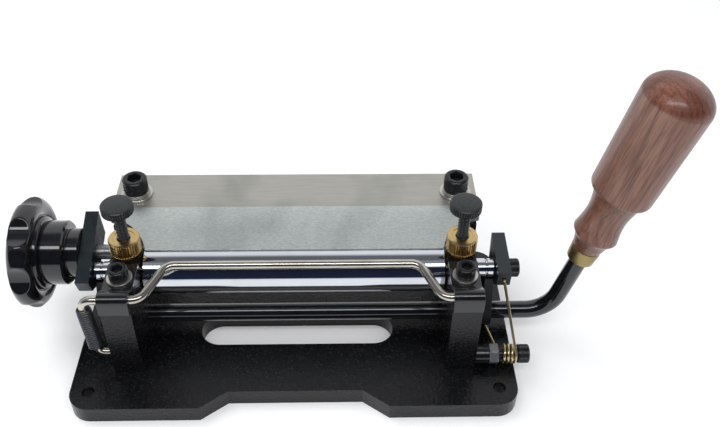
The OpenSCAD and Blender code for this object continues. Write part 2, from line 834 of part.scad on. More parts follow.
module clip_washers() {
    color("#b9b7b0") both() translate([adjuster_x, clip_screw_y, deck_z + clip_t])
        washer(screw_d, washer_r * screw_d, 1.2);
}

// The wire lies in one plane that slopes up to the middle bar
wire_flat = wire_reach - 2 * wire_bend * (1 - cos(wire_sweep));
wire_ramp = wire_flat / sin(wire_sweep);
wire_s_run = 2 * wire_bend * sin(wire_sweep) + wire_ramp * cos(wire_sweep);
wire_end_x = upright_out;
wire_crank_l = 6;

// Frame of the wire's middle bar: its centre is at 0, 0, 0
module wire_frame() {
    translate([0, wire_y, wire_z]) rotate([wire_rise, 0, 0])
        translate([0, wire_reach, 0]) children();
}

// One side of the wire: the S bend and the pivot run
module wire_half(pivot_end) {
    r = wire_d / 2;
    pivot_l = pivot_end - wire_bar_l / 2 - wire_s_run;
    wire_frame() translate([wire_bar_l / 2, 0, 0]) rotate([0, 90, 0])
        rotate([0, 0, -90]) elbow(wire_bend, wire_sweep, r)
            run(wire_ramp, r) rotate([0, 0, 180]) elbow(wire_bend, wire_sweep, r)
                run(pivot_l, r) rotate([0, 0, -90 - wire_rise]) children();
}

module guide_wire() {
    color("#a9a59a") {
        wire_frame() rod_x(-wire_bar_l / 2, wire_bar_l / 2, wire_d / 2);
        wire_half(wire_end_x);
        mirror([1, 0, 0]) wire_half(wire_left - wire_crank_bend)
            elbow(wire_crank_bend, 90, wire_d / 2) run(wire_crank_l, wire_d / 2);
    }
}

// Pin out of the left upright, turned up into the spring
module anchor_pin() {
    color("#a9a59a") mirror([1, 0, 0])
        translate([upright_out - 8.5, anchor_y, anchor_z]) rotate([0, 90, 0])
            run(8.5 + wire_left - upright_out - anchor_bend, anchor_d / 2)
                rotate([0, 0, 180]) elbow(anchor_bend, 90, anchor_d / 2)
                    run(5, anchor_d / 2);
}

// --------------------------------------------------------------- springs

// Curls of the extension spring, from the pin up to the wire's crank
function ease(t) = t * t * (3 - 2 * t);
function pull_axis(t) = [-wire_left, anchor_y + (wire_y - anchor_y) * ease(t),
    pull_low + pull_l * t];
pull_body = [for (i = [0:rings * pull_spring_turns]) let (a = i * 360 / rings)
    pull_axis(i / (rings * pull_spring_turns)) + pull_r * [cos(a), sin(a), 0]];
pull_path = concat([pull_body[0] + [0, -pull_spring_wire, 0]], pull_body,
    [pull_body[len(pull_body) - 1] + [0, pull_spring_wire, 0]]);
echo(extension_spring_least_gap = least_gap(pull_body, pull_spring_wire / 2));

module extension_spring() {
    color("#26282a") wound_tube(pull_path, pull_spring_wire / 2, [1, 0, 0]);
}

// Angle at which a line to the point p leaves a circle of radius r
function tangent_angle(p, r) = atan2(p[1], p[0]) + acos(r / norm(p));

// The front leg hooks into the arm's nose and the back leg bears on the cam hub
leg_up = [nose_y - 1.2 - twist_y, nose_z - twist_z - 0.5];
leg_back = [shaft_y - cam_hub_d / 2 - side_gap - twist_wire / 2 - twist_y, 1];
back_angle = -tangent_angle([leg_back[0], -leg_back[1]], twist_r);
front_angle = tangent_angle(leg_up, twist_r) - 360 * (twist_turns + 1);
twist_steps = round((back_angle - front_angle) * rings / 360);
back_leg_x = cam_x + 1.5;
twist_coil = [for (i = [0:twist_steps])
    let (t = i / twist_steps, a = back_angle + (front_angle - back_angle) * t)
    [twist_start + (twist_end - twist_start) * t,
     twist_y + twist_r * cos(a), twist_z + twist_r * sin(a)]];
twist_path = concat(
    [[back_leg_x, twist_y + leg_back[0], twist_z + leg_back[1]]],
    [for (t = [0.5]) let (e = [back_leg_x, twist_y + leg_back[0], twist_z + leg_back[1]])
        e + (twist_coil[0] - e) * t],
    twist_coil,
    [for (t = [0.35, 0.7]) twist_coil[twist_steps]
        + ([nose_x, twist_y + leg_up[0], twist_z + leg_up[1]] - twist_coil[twist_steps]) * t],
    [[nose_x, twist_y + leg_up[0], twist_z + leg_up[1]],
     [nose_x, nose_y + 0.8, nose_z],
     [nose_x, nose_y + 4, nose_z]]);
echo(torsion_spring_least_gap = least_gap(twist_coil, twist_wire / 2));

module torsion_spring() {
    color("#b9a45c") wound_tube(twist_path, twist_wire / 2, [1, 0, 0]);
}

module torsion_bolt() {
    head_x = twist_end + twist_wire / 2 + 0.6;
    color("#2a2b2d") translate([head_x, twist_y, twist_z]) rotate([0, 90, 0])
        cap_screw(screw_d, head_x - upright_out + 10);
}

module torsion_spacer() {
    color("#1d1f21") difference() {
        rod_x(upright_out, upright_out + spacer_l, 5, twist_y, twist_z);
        rod_x(upright_out - 1, upright_out + spacer_l + 1, screw_d / 2 + fit,
            twist_y, twist_z);
    }
}

module torsion_nut() {
    color("#3a3c3f") difference() {
        translate([upright_out + spacer_l, twist_y, twist_z]) rotate([0, 90, 0])
            rotate([0, 0, 30]) cylinder(h = nut_t, r = 0.95 * screw_d, $fn = 6);
        rod_x(upright_out, arm_x + 5, screw_d / 2 + fit, twist_y, twist_z);
    }
}

base_plate();
left_upright();
right_upright();
upright_bolts();
blade();
blade_screws();
blade_washers();
blade_spring_washers();
left_clip();
right_clip();
clip_screws();
clip_washers();
torsion_bolt();
torsion_spacer();
torsion_nut();
torsion_spring();
anchor_pin();
extension_spring();
roller_tube();
roller_bushes();
roller_axle();
left_slide_block();
right_slide_block();
left_arm();
right_arm();
left_arm_screw();
right_arm_screw();
handle_bar();
left_cam();
right_cam();
cam_set_screws();
handle_ferrule();
handle_grip();
star_knob();
knob_hub();
knob_stud();
guide_wire();
left_thumb_screw();
right_thumb_screw();
left_lock_nut();
right_lock_nut();
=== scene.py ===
import json
from math import radians, pi

import bmesh
import bpy
import numpy as np
from mathutils import Matrix, Vector


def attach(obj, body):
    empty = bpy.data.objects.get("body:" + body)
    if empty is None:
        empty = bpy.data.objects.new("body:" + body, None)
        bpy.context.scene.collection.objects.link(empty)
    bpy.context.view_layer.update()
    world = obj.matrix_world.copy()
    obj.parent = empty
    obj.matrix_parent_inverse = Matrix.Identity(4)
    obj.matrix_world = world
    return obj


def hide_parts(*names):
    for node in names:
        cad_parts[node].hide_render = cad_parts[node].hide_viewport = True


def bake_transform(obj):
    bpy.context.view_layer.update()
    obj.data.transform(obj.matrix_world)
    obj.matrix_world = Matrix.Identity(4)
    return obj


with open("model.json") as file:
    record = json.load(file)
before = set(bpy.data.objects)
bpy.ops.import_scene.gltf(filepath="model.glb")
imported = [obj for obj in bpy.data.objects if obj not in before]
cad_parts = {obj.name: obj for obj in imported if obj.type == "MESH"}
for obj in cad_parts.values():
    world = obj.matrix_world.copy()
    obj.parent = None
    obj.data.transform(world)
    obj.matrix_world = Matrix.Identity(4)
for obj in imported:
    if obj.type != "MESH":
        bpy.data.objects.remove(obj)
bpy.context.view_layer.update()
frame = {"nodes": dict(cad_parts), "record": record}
nodes = frame["nodes"]
bodyOf = {n: b for b, group in frame["record"]["behaviour"]["bodies"].items() for n in group}
mm = 0.001
weld = 2e-6  # points nearer than this, in metres, become one
sides = (-1, 1)
print("loaded", len(nodes), "nodes")


# helpers for grids of points, all in millimetres until makePiece

# three unit directions for a piece that is made along its own +Z
upright = np.eye(3)
alongX = np.array([[0, 1, 0], [0, 0, 1], [1, 0, 0]], float)
alongMinusX = np.array([[0, 0, 1], [0, 1, 0], [-1, 0, 0]], float)
alongMinusZ = np.array([[1, 0, 0], [0, -1, 0], [0, 0, -1]], float)


def unit(v):
    return v / np.linalg.norm(v, axis=-1, keepdims=True)


def fullTurn(columns):
    return np.arange(columns) * 2 * pi / columns


def addObject(name, data):
    thing = bpy.data.objects.new(name, data)
    bpy.context.scene.collection.objects.link(thing)
    return thing


# each face joins four neighbours; columns always close on themselves, and rows do in a loop
def gridFaces(rows, columns, loop, start):
    i, j = np.meshgrid(np.arange(rows if loop else rows - 1), np.arange(columns), indexing="ij")
    below, above = i * columns, ((i + 1) % rows) * columns
    right = (j + 1) % columns
    quads = np.stack([below + j, below + right, above + right, above + j], -1)
    return (quads.reshape(-1, 4) + start).tolist()


# closes each end of a grid that isn't a loop with one flat face
def endFaces(rows, columns, start):
    first = np.arange(columns) + start
    return [first[::-1].tolist(), (first + (rows - 1) * columns).tolist()]


def softEdges(piece, width):
    bevel = piece.modifiers.new("soft edges", "BEVEL")
    bevel.width = width * mm
    bevel.segments = 2
    bevel.limit_method = "ANGLE"
    bevel.angle_limit = radians(40)
    bevel.use_clamp_overlap = True


# grids is a list of (rows x columns x 3 points, loop), joined to one mesh
def makePiece(name, grids, finish, stands, body=None, bevel=0, sharpAngle=35):
    points, faces, start = [], [], 0
    for grid, loop in grids:
        rows, columns = grid.shape[:2]
        points.append(grid.reshape(-1, 3))
        faces += gridFaces(rows, columns, loop, start)
        if not loop:
            faces += endFaces(rows, columns, start)
        start += rows * columns
    mesh = bpy.data.meshes.new(name)
    mesh.from_pydata((np.concatenate(points) * mm).tolist(), [], faces)
    bm = bmesh.new()
    bm.from_mesh(mesh)
    bmesh.ops.remove_doubles(bm, verts=bm.verts, dist=weld)
    bmesh.ops.dissolve_degenerate(bm, edges=bm.edges, dist=1e-7)
    bmesh.ops.recalc_face_normals(bm, faces=bm.faces)
    bm.to_mesh(mesh)
    bm.free()
    return dress(name, mesh, finish, stands, body, bevel, sharpAngle)


# a piece without a body is left unattached
def dress(name, mesh, finish, stands, body, bevel, sharpAngle):
    mesh.shade_smooth()
    mesh.set_sharp_from_angle(angle=radians(sharpAngle))
    piece = addObject(name, mesh)
    mesh.materials.append(finish)
    if bevel:
        softEdges(piece, bevel)
    if body:
        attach(piece, body)
    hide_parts(*stands)
    return piece


# a copy of a CAD node, its flat faces joined and its edges rounded
def softened(node, finish, bevel):
    source = nodes[node].data
    points = np.empty(len(source.vertices) * 3, np.float32)
    source.vertices.foreach_get("co", points)
    corners = np.empty(len(source.loops), np.int32)
    source.loops.foreach_get("vertex_index", corners)
    mesh = bpy.data.meshes.new(node + "_soft")
    mesh.from_pydata(points.reshape(-1, 3).tolist(), [], corners.reshape(-1, 3).tolist())
    bm = bmesh.new()
    bm.from_mesh(mesh)
    bmesh.ops.remove_doubles(bm, verts=bm.verts, dist=weld)
    bmesh.ops.dissolve_limit(bm, angle_limit=radians(0.8), verts=bm.verts, edges=bm.edges)
    bm.to_mesh(mesh)
    bm.free()
    return dress(node + "_soft", mesh, finish, [node], bodyOf[node], bevel, 35)


# circles round an axis: one distance along it per row, and rows x columns of radii
def rings(radius, along, origin, axes=upright):
    angle = fullTurn(radius.shape[1])
    local = np.stack([radius * np.cos(angle), radius * np.sin(angle),
                      along[:, None] + 0 * radius], -1)
    return np.array(origin, float) + local @ axes


# turned shape: a profile of (distance along, radius) carried round the axis; shape, where
# given, is the share of the radius left at each radius and angle
def turned(profile, origin, axes=upright, columns=96, shape=None):
    along, radius = np.array(profile, float).T
    ring = np.repeat(radius[:, None], columns, 1)
    if shape:
        ring = ring * shape(ring, fullTurn(columns))
    return rings(ring, along, origin, axes)


# a ring carried along a path, its frame turned as little as possible from point to point
def swept(path, radius, columns, side=(0, 1, 0)):
    way = unit(np.gradient(path, axis=0))
    normal = np.empty_like(path)
    last = np.array(side, float)
    for i, t in enumerate(way):
        last = unit(last - (last @ t) * t)
        normal[i] = last
    binormal = np.cross(way, normal)
    angle = fullTurn(columns)[:, None]
    return path[:, None] + radius * (np.cos(angle) * normal[:, None]
                                     + np.sin(angle) * binormal[:, None])


# adds points to long straight runs, so shading stays even
def evenly(path, longest=2.0):
    parts = [path[:1]]
    for a, b in zip(path[:-1], path[1:]):
        count = int(np.ceil(np.linalg.norm(b - a) / longest))
        parts.append(a + (b - a) * (np.arange(1, count + 1) / count)[:, None])
    return np.concatenate(parts)


# straight runs joined by arcs of the given radii, as a bar is bent; an arc's centre stands off
# its corner by the radius over the sine of half the angle between the runs
def bentPath(corners, bends, steps=14):
    corners = np.array(corners, float)
    out = [corners[:1]]
    for k, bend in enumerate(bends, 1):
        a, b = unit(corners[k - 1] - corners[k]), unit(corners[k + 1] - corners[k])
        half = np.arccos(np.clip(a @ b, -1, 1)) / 2
        centre = corners[k] + unit(a + b) * bend / np.sin(half)
        first = corners[k] + a * bend / np.tan(half) - centre
        last = corners[k] + b * bend / np.tan(half) - centre
        turn = pi - 2 * half
        t = np.linspace(0, 1, steps)[:, None]
        arc = (np.sin((1 - t) * turn) * first + np.sin(t * turn) * last) / np.sin(turn)
        out.append(centre + arc)
    return evenly(np.concatenate(out + [corners[-1:]]))


# materials; patterns read Object coordinates in metres

def startFinish(name, color, roughness, metallic=0.0, coat=0.0, coatRoughness=0.1, specular=0.5):
    material = bpy.data.materials.new(name)
    material.use_nodes = True
    shader = material.node_tree.nodes["Principled BSDF"]
    shader.inputs["Base Color"].default_value = (*color, 1)
    shader.inputs["Roughness"].default_value = roughness
    shader.inputs["Metallic"].default_value = metallic
    shader.inputs["Specular IOR Level"].default_value = specular
    shader.inputs["Coat Weight"].default_value = coat
    shader.inputs["Coat Roughness"].default_value = coatRoughness
    return material, material.node_tree, shader


def link(tree, a, b):
    tree.links.new(a, b)


# links a socket, or sets a plain value
def feed(tree, value, target):
    if hasattr(value, "is_linked"):
        link(tree, value, target)
    else:
        target.default_value = (*value, 1) if hasattr(value, "__len__") else value


def stretched(tree, vector, scale, turn=(0, 0, 0), shift=(0, 0, 0)):
    mapping = tree.nodes.new("ShaderNodeMapping")
    mapping.inputs["Location"].default_value = shift
    mapping.inputs["Rotation"].default_value = turn
    mapping.inputs["Scale"].default_value = scale
    link(tree, vector, mapping.inputs["Vector"])
    return mapping.outputs["Vector"]


def placed(tree, scale=(1, 1, 1), turn=(0, 0, 0), shift=(0, 0, 0)):
    where = tree.nodes.new("ShaderNodeTexCoord")
    return stretched(tree, where.outputs["Object"], scale, turn, shift)


def measure(tree, vector, letter):
    split = tree.nodes.new("ShaderNodeSeparateXYZ")
    link(tree, vector, split.inputs[0])
    return split.outputs[letter]


def noise(tree, vector, scale, detail, rough=0.55, warp=0.0):
    node = tree.nodes.new("ShaderNodeTexNoise")
    node.inputs["Scale"].default_value = scale
    node.inputs["Detail"].default_value = detail
    node.inputs["Roughness"].default_value = rough
    node.inputs["Distortion"].default_value = warp
    link(tree, vector, node.inputs["Vector"])
    return node.outputs["Fac"]


def ramp(tree, value, stops):
    node = tree.nodes.new("ShaderNodeValToRGB")
    while len(node.color_ramp.elements) < len(stops):
        node.color_ramp.elements.new(0.5)
    for element, (place, color) in zip(node.color_ramp.elements, stops):
        element.position = place
        element.color = (*color, 1)
    link(tree, value, node.inputs["Fac"])
    return node.outputs["Color"]


def spread(tree, value, low, high, fromLow=0.3, fromHigh=0.7):
    node = tree.nodes.new("ShaderNodeMapRange")
    for socket, number in (("From Min", fromLow), ("From Max", fromHigh),
                           ("To Min", low), ("To Max", high)):
        node.inputs[socket].default_value = number
    link(tree, value, node.inputs["Value"])
    return node.outputs["Result"]


def bump(tree, shader, height, strength, distance):
    node = tree.nodes.new("ShaderNodeBump")
    node.inputs["Strength"].default_value = strength
    node.inputs["Distance"].default_value = distance
    link(tree, height, node.inputs["Height"])
    link(tree, node.outputs["Normal"], shader.inputs["Normal"])


def mixed(tree, factor, a, b, kind="MIX"):
    node = tree.nodes.new("ShaderNodeMix")
    node.data_type = "RGBA"
    node.blend_type = kind
    for socket, value in (("Factor", factor), ("A", a), ("B", b)):
        feed(tree, value, [s for s in node.inputs if s.name == socket and s.enabled][0])
    return [s for s in node.outputs if s.enabled][0]


# painted or plated metal: a mottled colour, an uneven gloss and a fine relief
def coated(name, color, deep, roughness, metallic=0.0, grain=900, relief=0.1, coat=0.0):
    material, tree, shader = startFinish(name, color, roughness, metallic, coat)
    place = placed(tree)
    blotch = noise(tree, place, grain / 9, 4)
    link(tree, ramp(tree, blotch, [(0.3, deep), (0.65, color)]), shader.inputs["Base Color"])
    link(tree, spread(tree, blotch, roughness * 0.8, roughness * 1.25), shader.inputs["Roughness"])
    bump(tree, shader, noise(tree, place, grain, 2), relief, 0.0002)
    return material


# wrinkle paint: near-black hollows of painted shade, greyer crests of painted sparkle, and a soft
# orange-peel relief from the same noise
def wrinklePaint():
    values = {"paintedShadeHollow": (0.0020, 0.0023, 0.0029), "slope": (0.0060, 0.0067, 0.0077),
              "paintedSparkleCrest": (0.0130, 0.0140, 0.0155), "grain": 760}
    material, tree, shader = startFinish("gloss wrinkle paint", values["slope"], 0.22,
                                         specular=0.36)
    peel = noise(tree, placed(tree), values["grain"], 3, 0.5)
    # the relief's hollows take painted shade and its crests a painted sparkle
    tone = ramp(tree, peel, [(0.46, values["paintedShadeHollow"]), (0.62, values["slope"]),
                             (0.80, values["paintedSparkleCrest"])])
    link(tree, tone, shader.inputs["Base Color"])
    link(tree, spread(tree, peel, 0.16, 0.30), shader.inputs["Roughness"])
    bump(tree, shader, peel, 0.80, 0.00028)
    return material


# adjusting screws: satin heads above the level of headZ, glossy oiled threads below it
def thumbSteel():
    values = {"headZ": 0.0879, "head": (0.042, 0.046, 0.048), "thread": (0.060, 0.063, 0.068)}
    material, tree, shader = startFinish("satin knurled steel", values["head"], 0.36, 0.55)
    place = placed(tree)
    isHead = spread(tree, measure(tree, place, "Z"), 0.0, 1.0,
                    values["headZ"], values["headZ"] + 0.0002)
    darker = tuple(0.7 * c for c in values["head"])
    headTone = ramp(tree, noise(tree, place, 700, 3), [(0.3, darker), (0.65, values["head"])])
    link(tree, mixed(tree, isHead, values["thread"], headTone), shader.inputs["Base Color"])
    link(tree, spread(tree, isHead, 0.16, 0.36, 0.0, 1.0), shader.inputs["Roughness"])
    return material


# polished round bar or wire: faint rings of wear and a few soft smears
def polished(name, color, deep, roughness, stretch, relief):
    material, tree, shader = startFinish(name, color, roughness, 1.0)
    wear = noise(tree, placed(tree, stretch), 1.0, 3)
    smear = noise(tree, placed(tree), 45, 3, warp=0.6)
    link(tree, ramp(tree, smear, [(0.35, deep), (0.6, color)]), shader.inputs["Base Color"])
    link(tree, spread(tree, smear, roughness * 0.85, roughness * 1.25), shader.inputs["Roughness"])
    bump(tree, shader, wear, relief, 0.0001)
    return material


# ground steel: fine dashes along X; the bevel is coarser and greener than the strip behind it,
# with soft dark clouds of painted reflection
def groundSteel():
    values = {"strip": (0.470, 0.460, 0.418), "stripDeep": (0.420, 0.410, 0.372),
              "bevel": (0.670, 0.710, 0.680), "bevelDeep": (0.460, 0.495, 0.475),
              "reflectionDark": (0.66, 0.69, 0.70), "bevelEnd": 0.0346}
    material, tree, shader = startFinish("ground blade steel", values["strip"], 0.40, 0.90)
    dash = noise(tree, placed(tree, (620, 2300, 40)), 1.0, 3, 0.65)
    brushed = noise(tree, placed(tree, (55, 1800, 40)), 1.0, 3, 0.6)
    # this noise places the painted reflection: soft darker clouds over strip and bevel
    reflectionCloud = noise(tree, placed(tree, (26, 14, 10)), 1.0, 2, warp=0.4)
    strip = ramp(tree, brushed, [(0.32, values["stripDeep"]), (0.66, values["strip"])])
    bevel = ramp(tree, dash, [(0.32, values["bevelDeep"]), (0.68, values["bevel"])])
    onBevel = spread(tree, measure(tree, placed(tree), "Y"), 1.0, 0.0,
                     values["bevelEnd"] - 0.0002, values["bevelEnd"] + 0.0002)
    ground = mixed(tree, onBevel, strip, bevel)
    # a darker copy of the steel, used as painted reflection
    paintedReflection = mixed(tree, 1.0, ground, values["reflectionDark"], "MULTIPLY")
    clear = spread(tree, reflectionCloud, 0.55, 0.0, 0.36, 0.52)
    link(tree, mixed(tree, clear, ground, paintedReflection), shader.inputs["Base Color"])
    link(tree, spread(tree, dash, 0.36, 0.46), shader.inputs["Roughness"])
    bump(tree, shader, dash, 0.05, 0.0001)
    return material


# rosewood: wavering grain lines and pores along the grip's own axis, redder end grain on the
# dome, under varnish
def rosewood(lean):
    values = {"light": (0.335, 0.188, 0.136), "mid": (0.205, 0.098, 0.067),
              "warm": (0.265, 0.136, 0.097), "line": (0.50, 0.40, 0.37),
              "lineEdge": (0.78, 0.72, 0.70), "deep": (0.62, 0.50, 0.46),
              "pore": (0.50, 0.42, 0.39), "dome": (0.72, 0.52, 0.45), "domeLevel": 0.1648}
    plain = (1, 1, 1)
    material, tree, shader = startFinish("varnished rosewood", values["mid"], 0.40, 0.0, 0.22, 0.06)
    axisPlace = placed(tree, (1, 1, 1), (0, -lean, 0), (-0.137, 0.004, -0.030))
    figure = noise(tree, stretched(tree, axisPlace, (150, 120, 9)), 1.0, 5, 0.6, 0.7)
    zone = noise(tree, stretched(tree, axisPlace, (48, 48, 6)), 1.0, 2, 0.5, 0.3)
    pores = noise(tree, stretched(tree, axisPlace, (1700, 1700, 60)), 1.0, 3, 0.6)
    band = tree.nodes.new("ShaderNodeTexWave")
    band.wave_type = "BANDS"
    band.bands_direction = "DIAGONAL"
    for socket, number in (("Scale", 1.7), ("Distortion", 5.0), ("Detail", 4.0),
                           ("Detail Scale", 1.3)):
        band.inputs[socket].default_value = number
    link(tree, stretched(tree, axisPlace, (95, 65, 7)), band.inputs["Vector"])
    base = ramp(tree, figure, [(0.30, values["mid"]), (0.52, values["light"]),
                               (0.72, values["warm"])])
    lines = ramp(tree, band.outputs["Fac"], [(0.0, values["line"]), (0.10, values["lineEdge"]),
                                             (0.30, plain)])
    zones = ramp(tree, zone, [(0.40, values["deep"]), (0.56, plain)])
    veined = mixed(tree, 0.55, mixed(tree, 1.0, base, zones, "MULTIPLY"), lines, "MULTIPLY")
    speck = ramp(tree, pores, [(0.38, values["pore"]), (0.54, plain)])
    wood = mixed(tree, 0.8, veined, speck, "MULTIPLY")
    onDome = spread(tree, measure(tree, axisPlace, "Z"), 0.0, 1.0,
                    values["domeLevel"], values["domeLevel"] + 0.0010)
    domed = mixed(tree, 1.0, wood, values["dome"], "MULTIPLY")
    link(tree, mixed(tree, onDome, wood, domed), shader.inputs["Base Color"])
    link(tree, spread(tree, pores, 0.42, 0.30), shader.inputs["Roughness"])
    bump(tree, shader, pores, 0.08, 0.0002)
    return material


# moulded knob: two near blacks in swirls, a high gloss and a barely seen ripple
def mouldedBlack():
    values = {"deep": (0.0050, 0.0055, 0.0070), "swirl": (0.0085, 0.0090, 0.0105)}
    material, tree, shader = startFinish("moulded gloss black", values["deep"], 0.09,
                                         0.0, 0.35, 0.04)
    swirl = noise(tree, placed(tree), 300, 3)
    tone = ramp(tree, swirl, [(0.3, values["deep"]), (0.7, values["swirl"])])
    link(tree, tone, shader.inputs["Base Color"])
    link(tree, spread(tree, swirl, 0.06, 0.11), shader.inputs["Roughness"])
    bump(tree, shader, noise(tree, placed(tree), 120, 2), 0.008, 0.0005)
    return material


paint = wrinklePaint()
armPaint = coated("satin arm paint", (0.0090, 0.0140, 0.0172), (0.0072, 0.0116, 0.0144), 0.32,
                  grain=1500, relief=0.12)
camPaint = coated("satin cam paint", (0.0110, 0.0120, 0.0135), (0.0080, 0.0090, 0.0100), 0.34,
                  grain=1200, relief=0.15)
barPaint = coated("gloss bar enamel", (0.0060, 0.0070, 0.0085), (0.0045, 0.0053, 0.0065), 0.12,
                  grain=500, relief=0.02, coat=0.5)
clipPaint = coated("gloss clip black", (0.0062, 0.0070, 0.0080), (0.0046, 0.0052, 0.0060), 0.20,
                   grain=1500, relief=0.12, coat=0.3)
oxide = coated("black oxide", (0.0150, 0.0162, 0.0180), (0.0095, 0.0104, 0.0118), 0.26, 0.30,
               grain=1800, relief=0.06)
washerSteel = coated("bright washer steel", (0.60, 0.59, 0.56), (0.52, 0.51, 0.48), 0.32, 1.0,
                     grain=900, relief=0.01)
nutSteel = coated("dull nut steel", (0.300, 0.310, 0.320), (0.230, 0.238, 0.247), 0.32, 0.85,
                  grain=1200, relief=0.04)
springBlack = coated("dark spring steel", (0.105, 0.110, 0.120), (0.085, 0.090, 0.100), 0.20, 0.8,
                     grain=1600, relief=0.02)
zinc = coated("yellow zinc", (0.74, 0.62, 0.38), (0.68, 0.56, 0.33), 0.28, 1.0,
              grain=500, relief=0.002)
bronze = coated("oiled bronze", (0.47, 0.34, 0.17), (0.30, 0.21, 0.10), 0.36, 1.0,
                grain=800, relief=0.1)
brass = coated("turned brass", (0.62, 0.45, 0.215), (0.50, 0.35, 0.155), 0.25, 1.0,
               grain=500, relief=0.02)
oldBrass = coated("aged brass", (0.38, 0.30, 0.135), (0.25, 0.19, 0.080), 0.34, 1.0,
                  grain=520, relief=0.06)
chrome = polished("polished chrome", (0.66, 0.68, 0.72), (0.61, 0.63, 0.67), 0.06,
                  (2600, 60, 60), 0.010)
nickel = polished("bright nickel wire", (0.58, 0.55, 0.49), (0.46, 0.43, 0.38), 0.20,
                  (60, 200, 200), 0.002)
thumbFinish = thumbSteel()
bladeSteel = groundSteel()
knobBlack = mouldedBlack()
print("materials ready")


# plates, blocks and arms: the CAD shapes, with the width of each one's worked edges

plateEdges = {"base_plate": (paint, 1.0),
              "left_upright": (paint, 0.6), "right_upright": (paint, 0.6),
              "blade": (bladeSteel, 0.12),
              "left_clip": (clipPaint, 0.2), "right_clip": (clipPaint, 0.2),
              "left_arm": (armPaint, 0.6), "right_arm": (armPaint, 0.6),
              "left_cam": (camPaint, 0.4), "right_cam": (camPaint, 0.4),
              "left_slide_block": (bronze, 0.3), "right_slide_block": (bronze, 0.3),
              "blade_spring_washers": (washerSteel, 0.15), "torsion_nut": (nutSteel, 0.25),
              "torsion_spacer": (clipPaint, 0.2), "left_arm_screw": (oxide, 0.1)}
for node, (finish, width) in plateEdges.items():
    softened(node, finish, width)
print("plates and arms ready")


# roller and its axle

roller = {"length": 156, "radius": 12.5, "bore": 8.0, "edge": 0.5, "axisY": 4.5, "axisZ": 47.2,
          "axleRadius": 5.0, "axleHalf": 104.8, "groove": 99.8}
axisPoint = (0, roller["axisY"], roller["axisZ"])


# the roller's section is a closed loop: along the outside and back along the bore
def rollerSection():
    half, edge = roller["length"] / 2, roller["edge"]
    outer, bore = roller["radius"], roller["bore"]
    along = np.linspace(-half + edge, half - edge, 40)
    outside = np.stack([along, 0 * along + outer], -1)
    return np.concatenate([[(-half, bore), (-half, outer - edge)], outside,
                           [(half, outer - edge), (half, bore)]])


# one end of the axle, with its ring groove and broken edge, and the same end mirrored
def axleProfile():
    half, r, groove = roller["axleHalf"], roller["axleRadius"], roller["groove"]
    end = [(groove, r), (groove + 0.3, r - 0.5), (groove + 0.9, r - 0.5), (groove + 1.2, r),
           (half - 0.6, r), (half, r - 0.6)]
    return [(-a, b) for a, b in reversed(end)] + end


makePiece("roller_shell", [(turned(rollerSection(), axisPoint, alongX, 160), True)],
          chrome, ["roller_tube"], "roller", 0.2)
makePiece("axle_bar", [(turned(axleProfile(), axisPoint, alongX), False)],
          chrome, ["roller_axle"], "carriage", 0.1)
print("roller ready")


# handle: bent bar, ferrule and turned grip

handle = {"shaftY": -0.5, "shaftZ": 20.0, "radius": 4.75, "leftEnd": -104.5, "bendX": 137.0,
          "bend": 17.0, "lean": 15.0, "gripStart": 40.0, "tang": 30.0, "bore": 4.8, "ferrule": 8.5,
          "ferruleRadius": 7.7, "gripLength": 112.0, "gripRadius": 17.25, "swell": 1.4,
          "bead": 10.4, "bodyStart": 37.0, "domeShare": 0.68}
lean = radians(handle["lean"])
gripAxes = np.array([[np.cos(lean), 0, -np.sin(lean)], [0, 1, 0], [np.sin(lean), 0, np.cos(lean)]])
bendPoint = np.array([handle["bendX"], handle["shaftY"], handle["shaftZ"]])
gripOrigin = bendPoint + handle["gripStart"] * gripAxes[2]
barPath = bentPath([(handle["leftEnd"], handle["shaftY"], handle["shaftZ"]), bendPoint,
                    bendPoint + (handle["gripStart"] + handle["tang"]) * gripAxes[2]],
                   [handle["bend"]], 24)


# a closed section: foot lip, slow flare, broken top edge, and the bore
def ferruleProfile():
    r, top, bore = handle["ferruleRadius"], handle["ferrule"], handle["bore"]
    return [(0, bore), (0, r - 1.4), (0.25, r - 0.95), (0.7, r - 0.65), (1.4, r - 0.5),
            (4, r - 0.3), (top - 0.5, r), (top, r - 0.15), (top, bore)]


# grip radius along its length: taper, sharp bead, sine-shaped waist, rounded step, slow swell,
# elliptic dome
def gripProfile():
    r, bead, bodyStart = handle["gripRadius"], handle["bead"], handle["bodyStart"]
    low = r - handle["swell"]
    top = handle["gripLength"] - handle["ferrule"]
    dome = handle["domeShare"] * r
    taper = np.array([(0, 7.3), (0.3, 7.6), (3, 8.2), (6.5, 9.3), (8.4, 10.35), (9.4, 11.1),
                      (10.1, 11.62), (bead, 11.72)])
    t = np.linspace(0, 1, 28)
    waist = np.stack([bead + 0.25 + (bodyStart - bead - 0.25) * t,
                      11.7 + 1.5 * t - 2.05 * np.sin(pi * t)], -1)
    a = np.linspace(0, pi / 2, 9)
    step = np.stack([bodyStart + 0.15 + 2.6 * (1 - np.cos(a)), low - 1.6 + 1.6 * np.sin(a)], -1)
    body = np.stack([np.linspace(bodyStart + 4, top - dome, 24),
                     np.linspace(low + 0.04, r, 24)], -1)
    b = np.linspace(0, pi / 2, 26)[1:]
    cap = np.stack([top - dome + dome * np.sin(b), r * np.cos(b)], -1)
    return np.concatenate([taper, waist, step, body, cap])


gripPoints = turned(gripProfile(), gripOrigin + handle["ferrule"] * gripAxes[2], gripAxes, 112)
makePiece("handle_rod", [(swept(barPath, handle["radius"], 40), False)],
          barPaint, ["handle_bar"], "handle", 0.4)
makePiece("ferrule_collar", [(turned(ferruleProfile(), gripOrigin, gripAxes), True)],
          oldBrass, ["handle_ferrule"], "handle")
makePiece("grip_turning", [(gripPoints, False)],
          rosewood(lean), ["handle_grip"], "handle", sharpAngle=42)
print("handle ready")


# lock knob: hub of two steps and a lobed knob with scooped finger places

